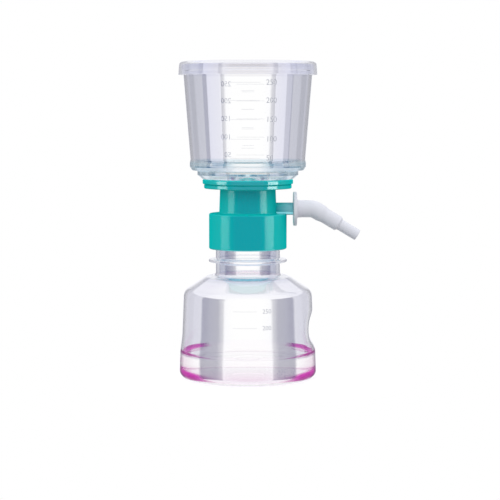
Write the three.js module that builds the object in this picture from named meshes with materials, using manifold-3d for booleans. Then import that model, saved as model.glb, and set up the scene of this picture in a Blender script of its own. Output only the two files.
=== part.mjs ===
// Vacuum filtration unit: a clear receiver bottle with some filtrate in it, a screw-on adapter that carries
// the membrane holder, the graduated funnel and its lid, and a swivelling elbow for the vacuum hose.
// Millimetres, +Z up. The origin is the centre of the bottle's underside and Z is the common axis. The
// vacuum port points along +X.
import * as THREE from 'three';
import { mergeVertices } from 'three/addons/utils/BufferGeometryUtils.js';
import Module from 'manifold-3d';

const wasm = await Module();
wasm.setup();

// ---- Driving dimensions ----

const seat = 0.3; // clearance left between two pieces that rest on, or turn in, each other

// Receiver bottle
const bottleWall = 1.8;
const baseThickness = 2;
const bellyRadius = 45; // widest part, just above the foot
const bellyHeight = 17; // where the belly ends and the soft step begins
const bellyDraft = 0.6;
const footFillet = 5;
const stepHeight = 11; // rise of the soft step from the belly to the waist
const waistRadius = 42.9;
const waistLength = 28.8; // from the step to the corner of the shoulder
const waistDraft = 1.2;
const shoulderRise = 9.8; // from its corner up to the level top round the neck
const shoulderFillet = 7;
const crownRadius = 26.3; // where the shoulder's slope meets that level top
const crownFillet = 6;
const neckRadius = 20.9; // outside, at the root of the screw thread
const neckWall = 2.3;
const neckLength = 36.6;
const ringReach = 4.6; // how far the handling ring stands out of the neck
const ringThickness = 3.4;
const ringDrop = 7.5; // from the collar's lower edge down to the middle of the handling ring
const padRadius = 10; // gate pad in the middle of the underside
const footRingWidth = 5;
const baseRecess = 0.8;
const gripDepth = 4; // finger grip pressed into the +X side of the wall
const gripHeight = 31.5;
const gripAxes = new THREE.Vector3(20, 42, 22); // semi-axes of the round form that presses it in

// Filtrate
const mediumDepth = 13.4;

// Adapter: threaded collar, neck with the vacuum port, and flange
const threadSpace = 2; // room between neck and collar for the screw thread
const collarWall = 2.3;
const collarSkirt = 19.2; // reach of the collar below the bottle's mouth
const collarRoof = 1.7;
const gasketThickness = 1.5;
const gasketLap = 1.6; // how far the gasket reaches inside the bottle's mouth
const stemRadius = 18; // adapter neck, just under the flange
const stemDraft = 0.6;
const stemWall = 1.9;
const stemLength = 16.2;
const stemFillet = 1.3;
const flangeRadius = 29.3;
const flangeThickness = 5.8;
const flangeStep = 0.9; // the lower lip is this much smaller than the upper one
const flangeRim = 3.4;
const flangeWell = 3.2;
const portRadius = 4;
const portWall = 1.2;
const portReach = 3.9; // how far the port stands out past the collar
const plugLength = 6.4; // fibre filter plug inside the port

// Hose connector
const spigotLength = 6;
const spigotBore = 1.5;
const discRadius = 11.1;
const discThickness = 2.4;
const elbowRadius = 5.6;
const elbowReach = 10.8; // from the disc's outer face to the corner of the elbow
const bendRadius = 8; // of the centre line round the elbow
const bendAngle = THREE.MathUtils.degToRad(31);
const armRadius = 5;
const armLength = 20; // from the corner of the elbow to the step
const tipRadius = 3.7;
const tipLength = 13.4;
const hoseBore = 2.1;

// Membrane holder and what lies in it
const holderRadius = 32.8;
const holderHeight = 5.4;
const holderFloor = 1.8;
const membraneRadius = 25;
const membraneThickness = 0.2;
const screenThickness = 0.5;
const ribHeight = 1.7;
const ribWidth = 0.8;
const ribCount = 24;
const sealHeight = 1;
const sealWidth = 1.8; // how far the seal reaches in over the membrane's edge
const spoutRadius = 5.5;
const spoutWall = 1.5;
const spoutLength = 31.3;
const plugInDepth = 1.5; // locating rim that drops into the flange's well

// Funnel
const funnelWall = 1.8;
const funnelBaseRadius = 37.1; // outside, at the floor
const funnelTopRadius = 42.15; // outside, at the rim
const funnelDepth = 62.8; // from the floor to the rim
const footHeight = 5; // from the floor down to the foot's lower edge
const footBead = 0.6;
const footTaper = 0.8;
const weldRingWidth = 4;
const rimBead = 0.5;
const rimBeadHeight = 4.4;

// Lid
const lidWall = 1.4;
const lidThickness = 1.8;
const lidSkirt = 8.8;
const lidFlare = 0.6;
const lidPlugDepth = 2.7;
const lidPlugWall = 1.5;

// ---- Heights and radii that follow from them ----

const waistHeight = bellyHeight + stepHeight;
const shoulderHeight = waistHeight + waistLength;
const shoulderRadius = waistRadius - waistDraft;
const shoulderSlope = shoulderRise / (shoulderRadius - crownRadius);
const mouthHeight = shoulderHeight + shoulderRise + neckLength;
const mouthRadius = neckRadius - neckWall;

const collarBore = neckRadius + threadSpace;
const collarRadius = collarBore + collarWall;
const collarBottom = mouthHeight - collarSkirt;
const gasketBottom = mouthHeight + seat;
const ceiling = gasketBottom + gasketThickness + seat;
const collarTop = ceiling + collarRoof;
const stemBore = stemRadius - stemWall;
const flangeBottom = collarTop + stemLength;
const flangeTop = flangeBottom + flangeThickness;
const wellRadius = flangeRadius - flangeRim;
const portBore = portRadius - portWall;
const portHeight = ceiling + portRadius + 2 * seat;
const portEnd = collarRadius + portReach;
const spigotRadius = portBore - seat;

const holderBottom = flangeTop + seat;
const holderTop = holderBottom + holderHeight;
const screenRadius = membraneRadius + 2 * seat;
const recessRadius = screenRadius + seat;
const screenBottom = holderBottom + holderFloor + ribHeight + seat;
const membraneBottom = screenBottom + screenThickness + seat;
const sealBottom = membraneBottom + membraneThickness + seat;
const sealTop = sealBottom + sealHeight;

const footBottom = holderTop + seat;
const funnelFloor = footBottom + footHeight;
const funnelRim = funnelFloor + funnelDepth;
const outletRadius = membraneRadius - sealWidth;
const lidBottom = funnelRim + seat + lidThickness - lidSkirt;

// ---- Helpers ----

const SEGMENTS = 36; // round the large turned pieces
const SMALL_SEGMENTS = 24; // round the port, the connector and the plug
const FILLET_STEP = THREE.MathUtils.degToRad(32); // turn of each step round a fillet
const MERGE_DISTANCE = 1e-4;

// Points of an outline given as [radius, height, fillet] corners. A fillet ends at the middle of its edge
// at the latest. An outline that doesn't start on the axis is closed on itself.
function outline(corners) {
  const closed = corners[0][0] > 0;
  const at = (i) => {
    const [radius, height] = corners[(i + corners.length) % corners.length];
    return new THREE.Vector2(radius, height);
  };
  const points = corners.flatMap(([, , fillet = 0], i) => {
    const corner = at(i);
    if (fillet <= 0) return [corner];
    const back = at(i - 1).sub(corner);
    const ahead = at(i + 1).sub(corner);
    const opening = back.angleTo(ahead);
    const setback = fillet / Math.tan(opening / 2);
    const start = corner.clone().add(back.setLength(Math.min(setback, back.length() / 2)));
    const end = corner.clone().add(ahead.setLength(Math.min(setback, ahead.length() / 2)));
    const steps = Math.ceil((Math.PI - opening) / FILLET_STEP);
    return new THREE.QuadraticBezierCurve(start, corner, end).getPoints(steps);
  });
  return closed ? [...points, points[0].clone()] : points;
}

// An outline turned about +Z. Its corners run up the outside, so that the faces point outwards.
function turned(corners, segments = SEGMENTS) {
  return new THREE.LatheGeometry(outline(corners), segments).rotateX(Math.PI / 2);
}

// A round bar from height low to high about +Z.
function bar(radius, low, high, segments) {
  return turned([[0, low], [radius, low], [radius, high], [0, high]], segments);
}

// A flat ring about +Z.
function ring(inner, outer, low, high, fillet = 0) {
  return turned([[inner, low], [outer, low, fillet], [outer, high, fillet], [inner, high]]);
}

function solidOf(geometry) {
  geometry.deleteAttribute('normal');
  geometry.deleteAttribute('uv');
  const merged = mergeVertices(geometry, MERGE_DISTANCE);
  const index = merged.index.array;
  const triVerts = [];
  for (let i = 0; i < index.length; i += 3) {
    const [a, b, c] = index.slice(i, i + 3);
    if (a !== b && b !== c && c !== a) triVerts.push(a, b, c);
  }
  return new wasm.Manifold(new wasm.Mesh({
    numProp: 3,
    vertProperties: merged.attributes.position.array,
    triVerts: new Uint32Array(triVerts),
  }));
}

function geometryOf(solid) {
  const { vertProperties, triVerts } = solid.getMesh();
  const geometry = new THREE.BufferGeometry();
  geometry.setAttribute('position', new THREE.BufferAttribute(vertProperties, 3));
  geometry.setIndex(new THREE.BufferAttribute(triVerts, 1));
  geometry.computeVertexNormals();
  return geometry;
}

function plastic(color, roughness, opacity = 1) {
  return new THREE.MeshStandardMaterial({
    color, roughness, metalness: 0, opacity, transparent: opacity < 1,
  });
}

const clearPlastic = plastic('#e4e4ee', 0.06, 0.3);
const tealPlastic = plastic('#0fa5a8', 0.3);
const whitePlastic = plastic('#d9d9e4', 0.38);
const softRubber = plastic('#e6e6e2', 0.7);
const pinkMedium = plastic('#e58fd0', 0.05, 0.5);
const membraneWhite = plastic('#f4f4f2', 0.8);
const fibreWhite = plastic('#eef0f0', 0.95);

function piece(name, solid, material) {
  const mesh = new THREE.Mesh(geometryOf(solid), material);
  mesh.name = name;
  return mesh;
}

// ---- Receiver bottle ----

// Height of the shoulder's cone at a radius, on the face that lies an inset inside the outer one.
function shoulderAt(radius, inset) {
  const drop = inset * Math.hypot(1, shoulderSlope);
  return shoulderHeight + shoulderSlope * (shoulderRadius - radius) - drop;
}

// Radius at which that cone meets the level top round the neck.
function crownAt(inset) {
  return crownRadius - inset * (Math.hypot(1, shoulderSlope) - 1) / shoulderSlope;
}

// Corners of the bottle's wall, from its foot up to the top, at an inset from the outer face.
function wallCorners(inset, floor, neck, top) {
  const shoulder = shoulderRadius - inset;
  const crownHeight = shoulderHeight + shoulderRise - inset;
  return [
    [bellyRadius - inset, floor, Math.max(footFillet - inset, seat)],
    [bellyRadius - bellyDraft - inset, bellyHeight, footFillet],
    [waistRadius - inset, waistHeight, footFillet],
    [shoulder, shoulderAt(shoulder, inset), shoulderFillet - inset],
    [crownAt(inset), crownHeight, crownFillet - inset],
    [neck, crownHeight, neckWall],
    [neck, top],
    [0, top],
  ];
}

function undersideCorners() {
  const footInner = bellyRadius - footFillet - footRingWidth;
  return [
    [0, 0],
    [padRadius, 0],
    [padRadius + baseRecess, baseRecess],
    [footInner - baseRecess, baseRecess],
    [footInner, 0],
  ];
}

// The form that presses the finger grip in, grown by a distance for the inner face of the wall.
function gripForm(grow) {
  const form = new THREE.SphereGeometry(1, SEGMENTS, SMALL_SEGMENTS).rotateX(Math.PI / 2);
  form.scale(gripAxes.x + grow, gripAxes.y + grow, gripAxes.z + grow);
  form.translate(waistRadius - gripDepth + gripAxes.x, 0, gripHeight);
  return solidOf(form);
}

function handlingRing() {
  const middle = collarBottom - ringDrop;
  const root = neckRadius - neckWall / 2;
  const edge = neckRadius + ringReach;
  const half = ringThickness / 2;
  return solidOf(turned([
    [root, middle - half],
    [edge, middle - half / 2, half / 2],
    [edge, middle + half / 2, half / 2],
    [root, middle + half],
  ]));
}

function bottle() {
  const above = mouthHeight + bottleWall;
  const outside = [...undersideCorners(), ...wallCorners(0, 0, neckRadius, mouthHeight)];
  const inside = [[0, baseThickness], ...wallCorners(bottleWall, baseThickness, mouthRadius, above)];
  const hollow = solidOf(turned(inside)).subtract(gripForm(bottleWall));
  return solidOf(turned(outside)).subtract(gripForm(0)).add(handlingRing()).subtract(hollow);
}

function medium() {
  const inset = bottleWall + seat;
  const floor = baseThickness + seat;
  const inside = [[0, floor], ...wallCorners(inset, floor, mouthRadius - seat, mouthHeight)];
  const belowSurface = solidOf(bar(2 * bellyRadius, 0, floor + mediumDepth));
  return solidOf(turned(inside)).intersect(belowSurface).subtract(gripForm(inset));
}

// ---- Adapter, gasket and port plug ----

function mouthGasket() {
  return solidOf(ring(mouthRadius - gasketLap, collarBore - seat, gasketBottom, gasketBottom + gasketThickness));
}

function adapter() {
  const stemRoot = stemRadius + stemDraft;
  const lowerLip = flangeRadius - flangeStep;
  const grooveLow = flangeBottom + 0.4 * flangeThickness;
  const grooveHigh = flangeBottom + 0.52 * flangeThickness;
  const body = solidOf(turned([
    [collarBore, collarBottom],
    [collarRadius, collarBottom, 0.8],
    [collarRadius, collarTop, 0.8],
    [stemRoot, collarTop + stemFillet, stemFillet],
    [stemRadius, flangeBottom, stemFillet],
    [lowerLip, flangeBottom, 0.6],
    [lowerLip, grooveLow, 0.5],
    [lowerLip - flangeStep, (grooveLow + grooveHigh) / 2],
    [flangeRadius, grooveHigh, 0.5],
    [flangeRadius, flangeTop, 0.6],
    [wellRadius, flangeTop],
    [wellRadius, flangeTop - flangeWell],
    [stemBore, flangeTop - flangeWell],
    [stemBore, ceiling],
    [collarBore, ceiling],
  ]));
  return body.add(portBar(portRadius, stemBore + stemWall / 2, portEnd))
    .subtract(portBar(portBore, 0, portEnd + portReach));
}

// A round bar on the port's axis, from x low to high.
function portBar(radius, low, high) {
  return solidOf(bar(radius, low, high, SMALL_SEGMENTS).rotateY(Math.PI / 2).translate(0, 0, portHeight));
}

function portFilter() {
  const outerEnd = portEnd + seat - spigotLength - seat;
  return portBar(portBore - seat, outerEnd - plugLength, outerEnd);
}

// ---- Hose connector ----

// Modelled about its own swivel axis: X runs out through the disc, and the disc's inner face is at zero.
function connectorArm(corners, corner) {
  return solidOf(turned(corners, SMALL_SEGMENTS).rotateY(Math.PI / 2 + bendAngle).translate(corner, 0, 0));
}

function elbowBend(corner, tangent) {
  const start = new THREE.Vector3(corner - tangent, 0, 0);
  const middle = new THREE.Vector3(corner, 0, 0);
  const end = new THREE.Vector3(Math.cos(bendAngle), 0, -Math.sin(bendAngle)).multiplyScalar(tangent).add(middle);
  const path = new THREE.QuadraticBezierCurve3(start, middle, end);
  const section = new THREE.Shape().absarc(0, 0, elbowRadius, 0, 2 * Math.PI);
  return solidOf(new THREE.ExtrudeGeometry(section, { steps: 4, curveSegments: SMALL_SEGMENTS / 2, extrudePath: path }));
}

function hoseConnector() {
  const corner = discThickness + elbowReach;
  const tangent = bendRadius * Math.tan(bendAngle / 2);
  const stepLength = armRadius - tipRadius;
  const tipEnd = armLength + tipLength;
  const straight = solidOf(turned([
    [0, -spigotLength],
    [spigotRadius, -spigotLength, 0.4],
    [spigotRadius, 0],
    [discRadius, 0, 0.7],
    [discRadius, discThickness, 0.7],
    [elbowRadius, discThickness, 0.8],
    [elbowRadius, corner - tangent + 0.01],
    [0, corner - tangent + 0.01],
  ], SMALL_SEGMENTS).rotateY(Math.PI / 2));
  const arm = connectorArm([
    [0, tangent - 0.01],
    [elbowRadius, tangent - 0.01],
    [elbowRadius, 0.26 * armLength, 1],
    [armRadius, 0.43 * armLength, 1],
    [armRadius, armLength - stepLength, 0.3],
    [tipRadius, armLength, 0.3],
    [tipRadius, tipEnd, 0.3],
    [0, tipEnd],
  ], corner);
  const inletBore = solidOf(bar(spigotBore, -2 * spigotLength, corner, SMALL_SEGMENTS).rotateY(Math.PI / 2));
  const outletBore = connectorArm([[0, 0], [hoseBore, 0], [hoseBore, 2 * tipEnd], [0, 2 * tipEnd]], corner);
  const elbowHollow = solidOf(new THREE.SphereGeometry(hoseBore, SMALL_SEGMENTS, SMALL_SEGMENTS / 2).translate(corner, 0, 0));
  return straight.add(elbowBend(corner, tangent)).add(arm)
    .subtract(inletBore).subtract(outletBore).subtract(elbowHollow);
}

// ---- Membrane holder, screen, membrane and seal ----

function holderRib(index) {
  const inner = spoutRadius + ribWidth;
  const length = recessRadius - 2 * ribWidth - inner;
  const rib = new THREE.BoxGeometry(length, ribWidth, ribHeight + ribWidth);
  rib.translate(inner + length / 2, 0, holderBottom + holderFloor + (ribHeight - ribWidth) / 2);
  return solidOf(rib.rotateZ(2 * Math.PI * index / ribCount));
}

function membraneHolder() {
  const floor = holderBottom + holderFloor;
  const bore = spoutRadius - spoutWall;
  const rim = wellRadius - seat;
  const lower = holderRadius - 0.55 * holderHeight;
  const dish = solidOf(turned([
    [bore, holderBottom - spoutLength],
    [spoutRadius, holderBottom - spoutLength, 0.4],
    [spoutRadius, holderBottom, 1],
    [rim - flangeRim, holderBottom],
    [rim - flangeRim, holderBottom - plugInDepth],
    [rim, holderBottom - plugInDepth],
    [rim, holderBottom],
    [lower, holderBottom, 0.5],
    [holderRadius, holderBottom + holderHeight / 2, 0.5],
    [holderRadius, holderTop, 0.5],
    [recessRadius, holderTop],
    [recessRadius, floor],
    [bore, floor],
  ]));
  return Array.from({ length: ribCount }, (_, i) => holderRib(i))
    .reduce((whole, rib) => whole.add(rib), dish);
}

function drainScreen() {
  return solidOf(bar(screenRadius, screenBottom, screenBottom + screenThickness));
}

function membrane() {
  return solidOf(bar(membraneRadius, membraneBottom, membraneBottom + membraneThickness));
}

function membraneSeal() {
  return solidOf(ring(outletRadius, screenRadius, sealBottom, sealTop));
}

// ---- Funnel and lid ----

// Outer radius of the funnel's wall at a height above its floor.
function funnelRadiusAt(rise) {
  return THREE.MathUtils.lerp(funnelBaseRadius, funnelTopRadius, rise / funnelDepth);
}

function funnel() {
  const underside = funnelFloor - funnelWall;
  const footEdge = funnelBaseRadius - footTaper;
  const beadEdge = funnelBaseRadius + footBead;
  const weldInner = recessRadius + 1;
  const beadBottom = funnelRim - rimBeadHeight;
  const lipOuter = outletRadius + funnelWall;
  return solidOf(turned([
    [outletRadius, sealTop + seat],
    [lipOuter, sealTop + seat],
    [lipOuter, underside],
    [weldInner, underside],
    [weldInner, footBottom],
    [weldInner + weldRingWidth, footBottom],
    [weldInner + weldRingWidth, underside],
    [footEdge - funnelWall, underside],
    [footEdge - funnelWall, footBottom],
    [footEdge, footBottom, 0.5],
    [beadEdge, footBottom + 0.45 * footHeight, 1],
    [beadEdge, funnelFloor, 0.6],
    [funnelRadiusAt(funnelWall), funnelFloor + funnelWall, 0.6],
    [funnelRadiusAt(beadBottom - funnelFloor), beadBottom],
    [funnelTopRadius + rimBead, beadBottom + 2 * rimBead],
    [funnelTopRadius + rimBead, funnelRim, 0.6],
    [funnelTopRadius - funnelWall, funnelRim, 0.6],
    [funnelBaseRadius - funnelWall, funnelFloor, 2],
    [outletRadius, funnelFloor],
  ]));
}

function lid() {
  const underside = lidBottom + lidSkirt - lidThickness;
  const plugBottom = underside - lidPlugDepth;
  const plugOuter = funnelRadiusAt(plugBottom - funnelFloor) - funnelWall - seat;
  const skirtInner = funnelTopRadius + rimBead + seat;
  return solidOf(turned([
    [0, underside],
    [plugOuter - lidPlugWall, underside],
    [plugOuter - lidPlugWall, plugBottom],
    [plugOuter, plugBottom, 0.5],
    [plugOuter, underside],
    [skirtInner, underside],
    [skirtInner + lidFlare / 2, lidBottom],
    [skirtInner + lidWall + lidFlare, lidBottom, 0.4],
    [skirtInner + lidWall, underside + lidThickness, 2],
    [0, underside + lidThickness],
  ]));
}

// ---- Assembly ----

const connectorMesh = piece('hose_connector', hoseConnector(), whitePlastic);
connectorMesh.position.set(portEnd + seat, 0, portHeight);

const filterTop = new THREE.Group();
filterTop.add(
  piece('adapter', adapter(), tealPlastic),
  piece('port_filter', portFilter(), fibreWhite),
  piece('membrane_holder', membraneHolder(), clearPlastic),
  piece('drain_screen', drainScreen(), whitePlastic),
  piece('membrane', membrane(), membraneWhite),
  piece('membrane_seal', membraneSeal(), softRubber),
  piece('funnel', funnel(), clearPlastic),
  connectorMesh,
);

const group = new THREE.Group();
group.add(
  piece('bottle', bottle(), clearPlastic),
  piece('medium', medium(), pinkMedium),
  piece('mouth_gasket', mouthGasket(), softRubber),
  filterTop,
  piece('lid', lid(), clearPlastic),
);

export default group;
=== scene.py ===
"""Looks of a vacuum filtration unit: a clear receiver bottle with a little pink filtrate, a teal adapter
with its swivelling hose connector, the membrane holder, the graduated funnel and its lid.

The file is a Blender add-on that is run as a script. Each operator makes one piece, or a group of pieces.
Every piece is a surface worked out with numpy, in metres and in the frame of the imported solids.
"""
import math

import bpy
import numpy as np
from bpy.props import FloatProperty, FloatVectorProperty, IntProperty, PointerProperty
from bpy.types import Operator, Panel, PropertyGroup
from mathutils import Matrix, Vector


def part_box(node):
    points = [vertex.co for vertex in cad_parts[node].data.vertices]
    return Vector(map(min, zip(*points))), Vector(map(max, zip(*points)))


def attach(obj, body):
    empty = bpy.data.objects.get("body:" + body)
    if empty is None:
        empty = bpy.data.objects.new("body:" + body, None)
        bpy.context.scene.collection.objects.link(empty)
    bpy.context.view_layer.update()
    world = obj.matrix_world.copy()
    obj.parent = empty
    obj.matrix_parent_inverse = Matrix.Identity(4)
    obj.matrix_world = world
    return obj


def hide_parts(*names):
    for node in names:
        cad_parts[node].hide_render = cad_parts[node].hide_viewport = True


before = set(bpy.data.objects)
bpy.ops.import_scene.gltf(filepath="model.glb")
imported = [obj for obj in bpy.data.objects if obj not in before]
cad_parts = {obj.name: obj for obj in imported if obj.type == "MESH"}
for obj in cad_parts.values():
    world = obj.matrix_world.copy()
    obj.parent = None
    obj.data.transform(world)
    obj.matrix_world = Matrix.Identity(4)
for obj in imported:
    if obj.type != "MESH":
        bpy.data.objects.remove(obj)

bl_info = {
    "name": "Vacuum Filtration Unit",
    "version": (1, 0, 0),
    "blender": (4, 5, 0),
    "location": "3D Viewport > Sidebar > Filtration",
    "description": "Makes a bottle-top vacuum filtration unit, its finishes and its stage",
    "category": "Add Mesh",
}

MM = 0.001
TURN = 2 * math.pi
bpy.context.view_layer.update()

COLUMNS = 192  # round the large turned pieces
SMALL_COLUMNS = 96  # round the port, the connector and the plug
ARC_STEP = math.radians(12)  # turn of each step round a fillet
SHARP = math.radians(40)  # edges that turn more than this are shaded as sharp
SEAT = 0.3 * MM  # gap between pieces that rest on each other
SOFT_EDGE = 0.25 * MM  # smallest fillet of a moulded edge

# Numbers in millilitres with the heights of their lines, and heights of the lines without a number.
FUNNEL_NUMBERS = {
    "250": 190.9 * MM, "200": 179.7 * MM, "150": 167.8 * MM, "100": 155.6 * MM, "50": 143.7 * MM,
}
FUNNEL_LINES = (185.8 * MM, 174.2 * MM, 162 * MM, 150 * MM)
BOTTLE_NUMBERS = {"250": 47.5 * MM, "200": 37 * MM}
PRINT_GAP = 0.02 * MM  # between a wall and the print on it
DIGIT_SHARE = 0.73  # height of a digit, as a share of the size of its type

WHITE = (1, 1, 1, 1)
NO_ZONE = (1.0, 1.0, (1, 1, 1), 1.0)  # an empty zone above the whole object
# The room's walls in a mirror: the turn in degrees from the camera's side, and how light and how blue they
# are there. They are bright in front and behind, dark beside, and streaked in between.
WALLS = (
    (0, 1, 1), (40.5, 1, 1), (44.5, 0.1, 0.2), (72, 0.1, 0.2),
    (78, 0.06, 0.16), (88.5, 0.06, 0.16), (90.5, 0.34, 0.38), (109, 0.34, 0.38),
    (115, 0.15, 0.18), (128, 0.16, 0.2), (132, 0.3, 0.34), (136, 0.28, 0.32),
    (141, 0.17, 0.2), (160, 0.17, 0.2), (170, 1, 1), (180, 1, 1),
)
# Light panels: the turn in degrees from the camera's side, the width in degrees and the brightness of each.
SOFTBOXES = ((-71, 30, 8.0), (67, 30, 13.0))
SIDE_PANELS = ((-64.3, 29.4, 0.6), (62.7, 23.4, 0.6), (80.5, 12, 0.26))


def reach(node):
    """Largest distance of a solid from the common axis, measured along +Y."""
    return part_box(node)[1].y


def low(node):
    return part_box(node)[0].z


def high(node):
    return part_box(node)[1].z


def port_height():
    """Height of the axis that the port, its plug and the connector share."""
    return 0.5 * (low("port_filter") + high("port_filter"))


# ---- Sizes and colours that a user may change ----


def length(name, description, metres):
    return FloatProperty(
        name=name, description=description, default=metres, min=0, unit="LENGTH", precision=4
    )


def angle(name, description, degrees):
    return FloatProperty(
        name=name, description=description, default=math.radians(degrees), unit="ROTATION"
    )


def colour(name, description, *display):
    """A colour given as display values from 0 to 255, and kept as the linear ones that shaders use."""
    shown = np.array(display) / 255
    linear = np.where(shown <= 0.04045, shown / 12.92, ((shown + 0.055) / 1.055) ** 2.4)
    return FloatVectorProperty(
        name=name, description=description, default=tuple(linear), min=0, max=1, size=3, subtype="COLOR"
    )


class BottleSizes(PropertyGroup):
    wall: length("Wall", "Thickness of the bottle's wall", 1.8 * MM)
    floor: length("Floor", "Thickness of the bottle's floor", 2 * MM)
    belly_height: length("Belly height", "Where the belly ends and the soft step begins", 17 * MM)
    belly_draft: length("Belly draft", "How much the belly narrows upwards", 0.6 * MM)
    foot_fillet: length("Foot fillet", "Rounding of the foot and of the soft step", 5 * MM)
    waist_radius: length("Waist radius", "Outer radius just above the soft step", 42.9 * MM)
    waist_height: length("Waist height", "Where the soft step ends", 28 * MM)
    waist_draft: length("Waist draft", "How much the waist narrows upwards", 1.2 * MM)
    shoulder_height: length("Shoulder height", "Height of the corner of the shoulder", 56.8 * MM)
    shoulder_rise: length("Shoulder rise", "Rise of the shoulder from its corner to its level top", 9.8 * MM)
    shoulder_fillet: length("Shoulder fillet", "Rounding of the corner of the shoulder", 7 * MM)
    crown_radius: length("Crown radius", "Where the shoulder's slope meets its level top", 26.3 * MM)
    crown_fillet: length("Crown fillet", "Rounding between the shoulder's slope and its level top", 6 * MM)
    neck_radius: length("Neck radius", "Outer radius of the neck at the root of its thread", 20.9 * MM)
    neck_wall: length("Neck wall", "Thickness of the neck's wall", 2.3 * MM)
    neck_start: length("Neck start", "From the shoulder's corner up to the neck's tint", 7 * MM)
    ring_reach: length("Ring reach", "How far the handling ring stands out of the neck", 4.6 * MM)
    ring_thickness: length("Ring thickness", "Thickness of the handling ring at the neck", 3.4 * MM)
    ring_drop: length("Ring drop", "From the collar's lower edge to the ring's middle", 7.5 * MM)
    pad_radius: length("Pad radius", "Gate pad in the middle of the underside", 10 * MM)
    foot_ring: length("Foot ring", "Width of the ring that the bottle stands on", 5 * MM)
    recess: length("Recess", "Depth of the underside between pad and foot ring", 0.8 * MM)
    grip_depth: length("Grip depth", "Depth of the finger grip in the side of the wall", 4.3 * MM)
    grip_height: length("Grip height", "Height of the middle of the finger grip", 31.5 * MM)
    grip_rise: length("Grip rise", "From the middle of the finger grip to its upper edge", 14 * MM)
    grip_spread: angle("Grip spread", "From the middle of the finger grip to its side", 30)


class ThreadSizes(PropertyGroup):
    pitch: length("Pitch", "Rise of the screw thread in one turn", 4 * MM)
    depth: length("Depth", "Height of the thread's ridge", 1.4 * MM)
    ridge: length("Ridge", "Width of the thread's ridge at its root", 1.8 * MM)
    length: length("Length", "Length of neck that carries thread", 14.5 * MM)


class FiltrateSizes(PropertyGroup):
    wetting: length("Wetting", "How far the filtrate reaches into the wall, to leave no air", 0.2 * MM)
    meniscus: length("Meniscus", "How far the filtrate climbs the wall", 2.6 * MM)


class AdapterSizes(PropertyGroup):
    collar_bore: length("Collar bore", "Radius inside the collar", 22.9 * MM)
    collar_radius: length("Collar radius", "Outer radius of the threaded collar", 25.2 * MM)
    collar_top: length("Collar top", "Height of the collar's roof", 107 * MM)
    roof: length("Roof", "Thickness of the collar's roof", 1.7 * MM)
    thread_drop: length("Thread drop", "From the underside of the roof to the thread", 2.5 * MM)
    stem_radius: length("Stem radius", "Outer radius of the stem under the flange", 18 * MM)
    stem_draft: length("Stem draft", "How much the stem widens downwards", 0.6 * MM)
    stem_wall: length("Stem wall", "Thickness of the stem's wall", 1.9 * MM)
    stem_fillet: length("Stem fillet", "Rounding where the stem meets the roof and the flange", 1.3 * MM)
    flange_thickness: length("Flange thickness", "Height of the flange", 5.8 * MM)
    flange_step: length("Flange step", "How much smaller the lower lip is than the upper", 0.9 * MM)
    groove_width: length("Groove width", "Width of the groove between the flange's two lips", 0.7 * MM)
    groove_depth: length("Groove depth", "Depth of that groove", 0.8 * MM)
    flange_rim: length("Flange rim", "Width of the rim round the flange's well", 3.4 * MM)
    flange_well: length("Flange well", "Depth of the flange's well", 3.2 * MM)
    port_radius: length("Port radius", "Outer radius of the vacuum port", 4 * MM)
    port_bore: length("Port bore", "Radius inside the vacuum port", 2.8 * MM)
    gasket_bore: length("Gasket bore", "Radius inside the gasket under the collar's roof", 17 * MM)


class ConnectorSizes(PropertyGroup):
    spigot: length("Spigot", "Length of the spigot inside the port", 6 * MM)
    spigot_radius: length("Spigot radius", "Outer radius of the spigot", 2.5 * MM)
    bore: length("Bore", "Radius of the air passage", 1.6 * MM)
    disc_radius: length("Disc radius", "Radius of the round flange", 11.1 * MM)
    disc_thickness: length("Disc thickness", "Thickness of the round flange", 2.4 * MM)
    hub_flare: length("Hub flare", "How much the elbow widens towards its flange", 0.25 * MM)
    hub_length: length("Hub length", "Length of the widened stretch", 3 * MM)
    elbow_radius: length("Elbow radius", "Outer radius of the elbow", 5.6 * MM)
    elbow_reach: length("Elbow reach", "From the disc's outer face to the corner of the elbow", 10.8 * MM)
    bend_radius: length("Bend radius", "Radius of the elbow's centre line", 8 * MM)
    bend: angle("Bend", "How far the elbow turns down", 31)
    taper_start: length("Taper start", "From the corner of the elbow to its taper", 5.2 * MM)
    taper_length: length("Taper length", "Length of the taper from elbow to arm", 3.4 * MM)
    arm_radius: length("Arm radius", "Outer radius of the arm", 5 * MM)
    arm_draft: length("Arm draft", "How much the arm narrows towards the step", 0.05 * MM)
    arm_length: length("Arm length", "From the corner of the elbow to the step", 20 * MM)
    tip_radius: length("Tip radius", "Outer radius of the hose tip", 3.7 * MM)
    tip_length: length("Tip length", "From the step to the end of the hose tip", 13.4 * MM)
    tip_chamfer: length("Tip chamfer", "How far the passage widens at its mouth", 0.5 * MM)


class HolderSizes(PropertyGroup):
    floor: length("Floor", "Thickness of the holder's floor", 1.8 * MM)
    chamfer: length("Chamfer", "Width of the slope under the holder's edge", 3 * MM)
    recess_radius: length("Recess radius", "Radius of the dish that takes screen and membrane", 25.9 * MM)
    rib_height: length("Rib height", "Height of the drain ribs", 1.7 * MM)
    rib_width: length("Rib width", "Width of the drain ribs", 0.8 * MM)
    rib_gap: length("Rib gap", "From the outer ends of the ribs to the wall of the dish", 1.6 * MM)
    rib_slope: length("Rib slope", "Length of the slope at each end of a rib", 0.3 * MM)
    rib_count: IntProperty(name="Ribs", description="Number of drain ribs", default=24, min=3)
    spout_radius: length("Spout radius", "Outer radius of the drain spout", 5.5 * MM)
    spout_wall: length("Spout wall", "Thickness of the spout's wall", 1.5 * MM)
    plug_depth: length("Plug depth", "Height of the rim that drops into the flange's well", 1.5 * MM)
    plug_radius: length("Plug radius", "Outer radius of that rim", 25.6 * MM)
    plug_width: length("Plug width", "Width of that rim", 3.4 * MM)


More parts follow.
